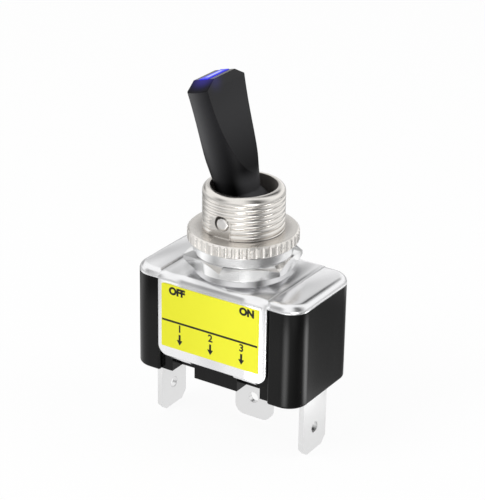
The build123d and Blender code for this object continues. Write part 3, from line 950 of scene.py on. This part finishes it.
@dataclass
class PrintedLabel:
    """The yellow sticker on the front flap, with words, a rule, arrows and numbers."""

    left: float = -8.6 * MM
    right: float = 8.1 * MM
    top: float = -2.5 * MM
    bottom: float = -12.5 * MM
    back: float = -8.2 * MM
    face: float = -8.3 * MM
    ink_face: float = -8.318 * MM
    corner_round: float = 0.15 * MM
    corner_faces: int = 4
    rule_height: float = -8.2 * MM
    rule_thickness: float = 0.3 * MM
    rule_left: float = -8.5 * MM
    rule_right: float = 7.9 * MM
    columns: tuple[float, ...] = (-5.4 * MM, -0.08 * MM, 5.24 * MM)
    number_height: float = -9.15 * MM
    arrow_top: float = -10.05 * MM
    arrow_neck: float = -10.95 * MM
    arrow_tip: float = -11.75 * MM
    stem_half: float = 0.17 * MM
    head_half: float = 0.5 * MM
    word_size: float = 1.55 * MM
    word_boldness: float = 0.09 * MM
    number_size: float = 1.6 * MM
    number_boldness: float = 0.04 * MM
    words: dict[str, Pair] = field(default_factory=lambda: {
        "OFF": (-5.9 * MM, -3.4 * MM), "ON": (6.05 * MM, -3.35 * MM),
    })

    @staticmethod
    def slab(shape: BMesh, across: Span, heights: Span, depths: Span) -> None:
        """Adds a flat block to a shape.

        Args:
            shape: The shape.
            across: Its left and right end.
            heights: Its bottom and top.
            depths: Its front and back.
        """
        size = [abs(pair[1] - pair[0]) for pair in (across, depths, heights)]
        middle = [(pair[0] + pair[1]) / 2 for pair in (across, depths, heights)]
        matrix = Matrix.Translation(middle) @ Matrix.Diagonal((*size, 1.0))
        bmesh.ops.create_cube(shape, size=1.0, matrix=matrix)

    def sheet(self, material: Material) -> None:
        """Makes the yellow sheet, in place of the plain one.

        Args:
            material: Its finish.
        """
        shape = bmesh.new()
        self.slab(shape, (self.left, self.right), (self.bottom, self.top), (self.face, self.back))
        through = [
            edge for edge in shape.edges if abs(edge.verts[0].co.y - edge.verts[1].co.y) > WELD_GAP
        ]
        bmesh.ops.bevel(
            shape, geom=through, offset=self.corner_round, offset_type="OFFSET",
            segments=self.corner_faces, profile=0.5, affect="EDGES", material=-1,
        )
        bmesh.ops.recalc_face_normals(shape, faces=shape.faces[:])
        piece = place_piece("label_sheet", shape, material)
        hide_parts("label")

    def word(self, text: str, size: float, place: Pair, boldness: float) -> BMesh:
        """Cuts a word out of ink.

        Args:
            text: The word.
            size: The height of its letters' box.
            place: Its middle on the label, across and up.
            boldness: How far its outline is pushed out.

        Returns:
            The word's shape, in place.
        """
        curve = bpy.data.curves.new("word", "FONT")
        curve.body = text
        curve.size = size
        curve.offset = boldness
        curve.extrude = abs(self.ink_face - self.face)
        curve.align_x = "CENTER"
        curve.align_y = "CENTER"
        letters = bpy.data.objects.new("word", curve)
        shape = bmesh.new()
        shape.from_mesh(bpy.data.meshes.new_from_object(letters))
        bmesh.ops.remove_doubles(shape, verts=shape.verts[:], dist=WELD_GAP)
        upright = Matrix.Translation((place[0], self.face, place[1])) @ STAND_UP
        bmesh.ops.transform(shape, matrix=upright, verts=shape.verts[:])
        bmesh.ops.recalc_face_normals(shape, faces=shape.faces[:])
        bpy.data.objects.remove(letters)
        return shape

    def arrow(self, shape: BMesh, column: float) -> None:
        """Adds an arrow that points down at a terminal.

        Args:
            shape: The print's shape.
            column: The arrow's place across the label.
        """
        stem = (column - self.stem_half, column + self.stem_half)
        self.slab(shape, stem, (self.arrow_neck, self.arrow_top), (self.ink_face, self.face))
        points = (
            (column - self.head_half, self.arrow_neck),
            (column + self.head_half, self.arrow_neck),
            (column, self.arrow_tip),
        )
        corners = [shape.verts.new((across, self.face, height)) for across, height in points]
        tip = shape.faces.new(corners)
        grown = bmesh.ops.extrude_face_region(shape, geom=[tip], use_keep_orig=True)
        moved = [item for item in grown["geom"] if isinstance(item, BMVert)]
        bmesh.ops.translate(shape, verts=moved, vec=(0, self.ink_face - self.face, 0))

    def build(self, sheet_material: Material, ink: Material) -> None:
        """Makes the sheet and its print.

        Args:
            sheet_material: The sheet's finish.
            ink: The print's finish.
        """
        self.sheet(sheet_material)
        print_shape = bmesh.new()
        half = self.rule_thickness / 2
        heights = (self.rule_height - half, self.rule_height + half)
        depths = (self.ink_face, self.face)
        self.slab(print_shape, (self.rule_left, self.rule_right), heights, depths)
        for column in self.columns:
            self.arrow(print_shape, column)
        bmesh.ops.recalc_face_normals(print_shape, faces=print_shape.faces[:])
        place_piece("label_rule_and_arrows", print_shape, ink)
        for text, place in self.words.items():
            shape = self.word(text, self.word_size, place, self.word_boldness)
            place_piece(f"label_word_{text.lower()}", shape, ink)
        for number, column in enumerate(self.columns, start=1):
            place = (column, self.number_height)
            shape = self.word(str(number), self.number_size, place, self.number_boldness)
            place_piece(f"label_number_{number}", shape, ink)


@dataclass
class CarriedParts:
    """The solids that show as they are, each with its finish."""

    finishes: dict[Slot, Material]
    own_finishes: dict[str, Material]

    def dress(self) -> None:
        """Gives every solid its own finish, or else that of its slot in the record."""
        for row in frame["record"]["subparts"]:
            slot = Slot(row["material_slot"])
            piece = frame["nodes"][row["node"]]
            piece.data.materials.clear()
            piece.data.materials.append(self.own_finishes.get(row["node"], self.finishes[slot]))
            log.info("%s: %s", row["node"], slot.value)


def direction(azimuth: float, elevation: float) -> Vector:
    """Gives the direction at a bearing and an elevation in degrees, one long."""
    a, e = radians(azimuth), radians(elevation)
    return Vector((sin(a) * cos(e), -cos(a) * cos(e), sin(e)))


@dataclass(frozen=True)
class Patch:
    """A grey patch in the surround: a wedge between two sines of elevation."""

    wedge: Wedge
    depth: float
    low: float
    high: float


@dataclass(frozen=True)
class Ring:
    """A ring of the floor beyond a distance: its dim light, and wedges that add to it."""

    start: float
    dim: float
    gain: float
    wedges: tuple[Wedge, ...]
    gapped: bool = False


@dataclass(frozen=True)
class SoftLamp:
    """A square lamp that faces the switch: its bearing, elevation, power and side."""

    name: str
    azimuth: float
    elevation: float
    power: float
    size: float


@dataclass
class Studio:
    """A pale floor under a white surround, soft lamps and the camera at the photograph's place.

    Metal and gloss see cards and gaps in the floor and the surround.
    """

    floor_height: float = -27.1 * MM
    floor_size: float = 4.0
    floor_colour: tuple[float, ...] = (0.97, 0.97, 0.97, 1.0)
    floor_glow: float = 0.93
    surround_light: float = 0.55
    corner: Pair = (11.2 * MM, -4.8 * MM)
    corner_cards: tuple[Wedge, ...] = ((9, 24), (122, 24))
    corner_reach: Span = (20.0 * MM, 50.0 * MM)
    corner_soft: float = 4.0 * MM
    corner_gain: float = 5.5
    near_level: float = 0.86
    far_gain: float = 0.1
    far_ends: Span = (18.0 * MM, 27.0 * MM)
    shade_wedge: Wedge = (150, 60)
    shade_ends: Span = (26.0 * MM, 32.0 * MM)
    shade_depth: float = 0.7
    gaps: tuple[Wedge, ...] = (RIGHT_GAP, LEFT_GAP)
    gap_ends: Span = (22.0 * MM, 30.0 * MM)
    gap_depth: float = 0.8
    ring_soft: float = 3.0 * MM
    rings: tuple[Ring, ...] = (
        Ring(60 * MM, 0.12, 1.1, ((47, 34), (-73, 40), (166, 40))),
        Ring(71 * MM, 0.28, 0.95, ((-2, 50), (140, 44), (-62, 54))),
        Ring(100 * MM, 0.6, 0.45, ((-150, 50),), gapped=True),
        Ring(112 * MM, 0.6, 2.6, ((52, 27),)),
    )
    patches: tuple[Patch, ...] = (
        Patch((-142, 28), 0.6, 0.3, 0.5),
        Patch((-180, 46), 1.0, 0.48, 0.88),
        Patch((-36, 36), 0.65, 0.0, 0.6),
        Patch(RIGHT_GAP, 0.9, 0.0, 0.94),
        Patch(LEFT_GAP, 0.8, 0.0, 0.3),
    )
    lamps: tuple[SoftLamp, ...] = (
        SoftLamp("key_lamp", -25, 44, 1.6, 0.3),
        SoftLamp("side_lamp", 110, 40, 0.8, 0.3),
    )
    lamp_distance: float = 0.6
    camera_place: tuple[float, float, float] = (136.718 * MM, -215.139 * MM, 115.329 * MM)
    azimuth: float = 32.457
    elevation: float = 24.007
    roll: float = 0.943
    focal_length: float = 139.01
    sensor: float = 36.0
    near_clip: float = 0.01
    far_clip: float = 10.0

    def camera(self) -> None:
        """Sets up the camera."""
        a, r = radians(self.azimuth), radians(self.roll)
        back = direction(self.azimuth, self.elevation)
        level = Vector((cos(a), sin(a), 0.0))
        rise = back.cross(level)
        right = cos(r) * level + sin(r) * rise
        up = cos(r) * rise - sin(r) * level
        data = bpy.data.cameras.new("camera")
        data.lens = self.focal_length
        data.sensor_width = self.sensor
        data.clip_start = self.near_clip
        data.clip_end = self.far_clip
        eye = bpy.data.objects.new("camera", data)
        turn = Matrix((right, up, back)).transposed().to_4x4()
        eye.matrix_world = Matrix.Translation(self.camera_place) @ turn
        scene = bpy.context.scene
        scene.collection.objects.link(eye)
        scene.camera = eye

    @staticmethod
    def sector(place: tuple[Socket, Socket], wedge: Wedge) -> Socket:
        """Gives a soft wedge round the vertical.

        Args:
            place: How far a point or a direction lies from the wedge's edge, along X and Y.
            wedge: The wedge.

        Returns:
            1 along the wedge's middle, falling to 0 at its sides.
        """
        bearing, width = (radians(angle) for angle in wedge)
        along = place[0] * sin(bearing) - place[1] * cos(bearing)
        across = place[0] * cos(bearing) + place[1] * sin(bearing)
        return across.absolute().angle_from(along).smooth(width, 0.0)

    def cards(self, place: tuple[Socket, Socket], wedges: tuple[Wedge, ...]) -> Socket:
        """Gives 1 along the middles of several wedges, falling to 0 between them."""
        return reduce(Socket.largest, [self.sector(place, wedge) for wedge in wedges])

    def surround(self) -> None:
        """Makes the white surround; metal and gloss see grey patches in it."""
        world = bpy.data.worlds.new("surround")
        bpy.context.scene.world = world
        world.use_nodes = True
        sheet = NodeSheet(world.node_tree)
        x, y, height = sheet.axes("Generated")
        greys = [
            patch.depth * self.sector((x, y), patch.wedge) * height.between(patch.low, patch.high)
            for patch in self.patches
        ]
        mirrored = 1.0 - reduce(Socket.largest, greys)
        seen, shiny = sheet.rays()
        light = shiny * mirrored + (1.0 - shiny) * self.surround_light
        strength = seen + (1.0 - seen) * light
        glow = sheet.node("ShaderNodeBackground", sockets={"Color": WHITE, "Strength": strength})
        sheet.node("ShaderNodeOutputWorld", sockets={"Surface": glow})

    def mirrored_floor(self, sheet: NodeSheet) -> Socket:
        """Gives how bright the floor is in metal and gloss, in rings round the switch.

        The nearest part shows in the terminals and the next in the flaps and the housing. Then
        come the rings of the hex nut, the bushing and the lever.

        Args:
            sheet: The floor's nodes.

        Returns:
            The brightness.
        """
        x, y, _ = sheet.axes()
        place = (x, y)
        distance = length(*place)
        corner = (x - self.corner[0], y - self.corner[1])
        beside = length(*corner).between(*self.corner_reach, self.corner_soft)
        corner_cards = self.cards(corner, self.corner_cards) * beside
        shade = self.sector(place, self.shade_wedge) * distance.smooth(*self.shade_ends)
        level = self.near_level + self.far_gain * distance.smooth(*self.far_ends)
        level = level - self.shade_depth * shade + self.corner_gain * corner_cards
        gap = 1.0 - self.gap_depth * self.cards(place, self.gaps)
        level = level + distance.smooth(*self.gap_ends) * level * (gap - 1.0)
        for ring in self.rings:
            dim = ring.dim * gap if ring.gapped else ring.dim
            inside = dim + ring.gain * self.cards(place, ring.wedges)
            step = distance.smooth(ring.start - self.ring_soft, ring.start + self.ring_soft)
            level = level + step * (inside - level)
        return level

    def floor_finish(self) -> Material:
        """Makes the floor's material: white to the camera, cards to metal, open from below.

        Returns:
            The material.
        """
        material, sheet = new_material("pale_floor")
        mirrored = self.mirrored_floor(sheet)
        seen, shiny = sheet.rays()
        surface = sheet.node("ShaderNodeBsdfDiffuse", sockets={"Color": self.floor_colour})
        white = sheet.node("ShaderNodeEmission", sockets={"Color": WHITE, "Strength": 1.0})
        cards = sheet.node("ShaderNodeEmission", sockets={"Color": WHITE, "Strength": mirrored})
        clear = sheet.node("ShaderNodeBsdfTransparent")
        below = sheet.node("ShaderNodeNewGeometry", output="Backfacing")
        for factor, over in ((seen * self.floor_glow, white), (shiny, cards), (below, clear)):
            surface = sheet.node("ShaderNodeMixShader", sockets={0: factor, 1: surface, 2: over})
        sheet.node("ShaderNodeOutputMaterial", sockets={"Surface": surface})
        return material

    def floor(self) -> None:
        """Makes the pale floor."""
        shape = bmesh.new()
        bmesh.ops.create_grid(
            shape, x_segments=1, y_segments=1, size=self.floor_size / 2,
            matrix=Matrix.Translation((0, 0, self.floor_height)),
        )
        floor = link_shape("floor", shape)
        floor.data.materials.append(self.floor_finish())

    def hang(self, lamp: SoftLamp) -> None:
        """Hangs a soft lamp that faces the switch.

        Args:
            lamp: The lamp.
        """
        way = direction(lamp.azimuth, lamp.elevation)
        data = bpy.data.lights.new(lamp.name, "AREA")
        data.energy = lamp.power
        data.size = lamp.size
        hung = bpy.data.objects.new(lamp.name, data)
        hung.location = way * self.lamp_distance
        hung.rotation_euler = way.to_track_quat("Z", "Y").to_euler()
        hung.visible_glossy = False
        bpy.context.scene.collection.objects.link(hung)

    def build(self) -> None:
        """Makes the whole studio."""
        self.camera()
        self.surround()
        self.floor()
        for lamp in self.lamps:
            self.hang(lamp)
        bpy.context.scene.view_settings.view_transform = "Standard"
        log.info("studio: camera, floor, surround and %d lamps", len(self.lamps))


SILVER = (0.86, 0.86, 0.86)
WARM_NICKEL = (0.84, 0.81, 0.77)
KNURLED = (0.88, 0.85, 0.81)
PIN_STEEL = (0.92, 0.9, 0.88)
STEEL = (0.72, 0.71, 0.7)
ZINC = (0.93, 0.93, 0.94)
TIN = (0.88, 0.88, 0.88)
BRASS = (0.78, 0.58, 0.26)
SILVER_ALLOY = (0.9, 0.88, 0.84)
RESIN = ((0.6, 0.64, 0.85), (0.72, 0.76, 0.95))
CARD = ((0.33, 0.17, 0.09), (0.42, 0.24, 0.13))
LACQUER = ((0.6, 0.45, 0.25), (0.68, 0.53, 0.32))
INK = ((0.008, 0.008, 0.006), (0.016, 0.016, 0.01))


def slot_finishes() -> dict[Slot, Material]:
    """Makes the finish of every slot.

    Returns:
        The materials, by slot.
    """
    finishes = {
        Slot.BLACK_PLASTIC: LeverPlastic(),
        Slot.BLACK_MOULDING: Moulding(),
        Slot.LIT_WINDOW: LitWindow(),
        Slot.LAMP_RESIN: Matt("lamp_resin", *RESIN, roughness=0.2),
        Slot.NICKEL: Plating("bright_nickel", SILVER, roughness=0.18),
        Slot.PLATED_SHEET: PressedSheet("plated_sheet", ZINC, 0.24, edge_radius=0.2 * MM),
        Slot.STEEL: Plating("bright_steel", STEEL, roughness=0.2),
        Slot.TINNED_BRASS: Plating("tin_plate", TIN, roughness=0.3),
        Slot.CONTACT_METAL: Plating("silver_contact", SILVER_ALLOY, roughness=0.22),
        Slot.BRASS: Plating("plain_brass", BRASS, roughness=0.28),
        Slot.FIBRE_CARD: Matt("fibre_card", *CARD, roughness=0.7),
        Slot.RESISTOR_LACQUER: Matt("tan_lacquer", *LACQUER, roughness=0.35),
        Slot.YELLOW_VINYL: Vinyl(),
    }
    return {slot: finish.build() for slot, finish in finishes.items()}


def own_finishes() -> dict[str, Material]:
    """Makes the finishes that only one piece or pair has.

    Returns:
        The materials, by the piece's name.
    """
    pin = Plating("pin_steel", PIN_STEEL, roughness=0.34).build()
    return {
        "bushing": BushingNickel("warm_nickel", WARM_NICKEL, roughness=0.22).build(),
        "knurled_nut": KnurledNickel("knurled_nickel", KNURLED, roughness=0.27).build(),
        "hex_nut": FacetedNickel("faceted_nickel", SILVER, roughness=0.18).build(),
        "pivot_pin_front": pin,
        "pivot_pin_rear": pin,
    }


def main() -> None:
    """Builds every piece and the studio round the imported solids."""
    logging.basicConfig(level=logging.INFO, format="%(name)s: %(message)s")
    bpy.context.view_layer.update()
    finishes = slot_finishes()
    own = own_finishes()
    ink = Matt("black_ink", *INK, roughness=0.45, grain_size=0.1 * MM).build()
    CarriedParts(finishes, own).dress()
    ThreadedBushing().build(own["bushing"])
    PrintedLabel().build(finishes[Slot.YELLOW_VINYL], ink)
    Studio().build()


if __name__ == "__main__":
    main()
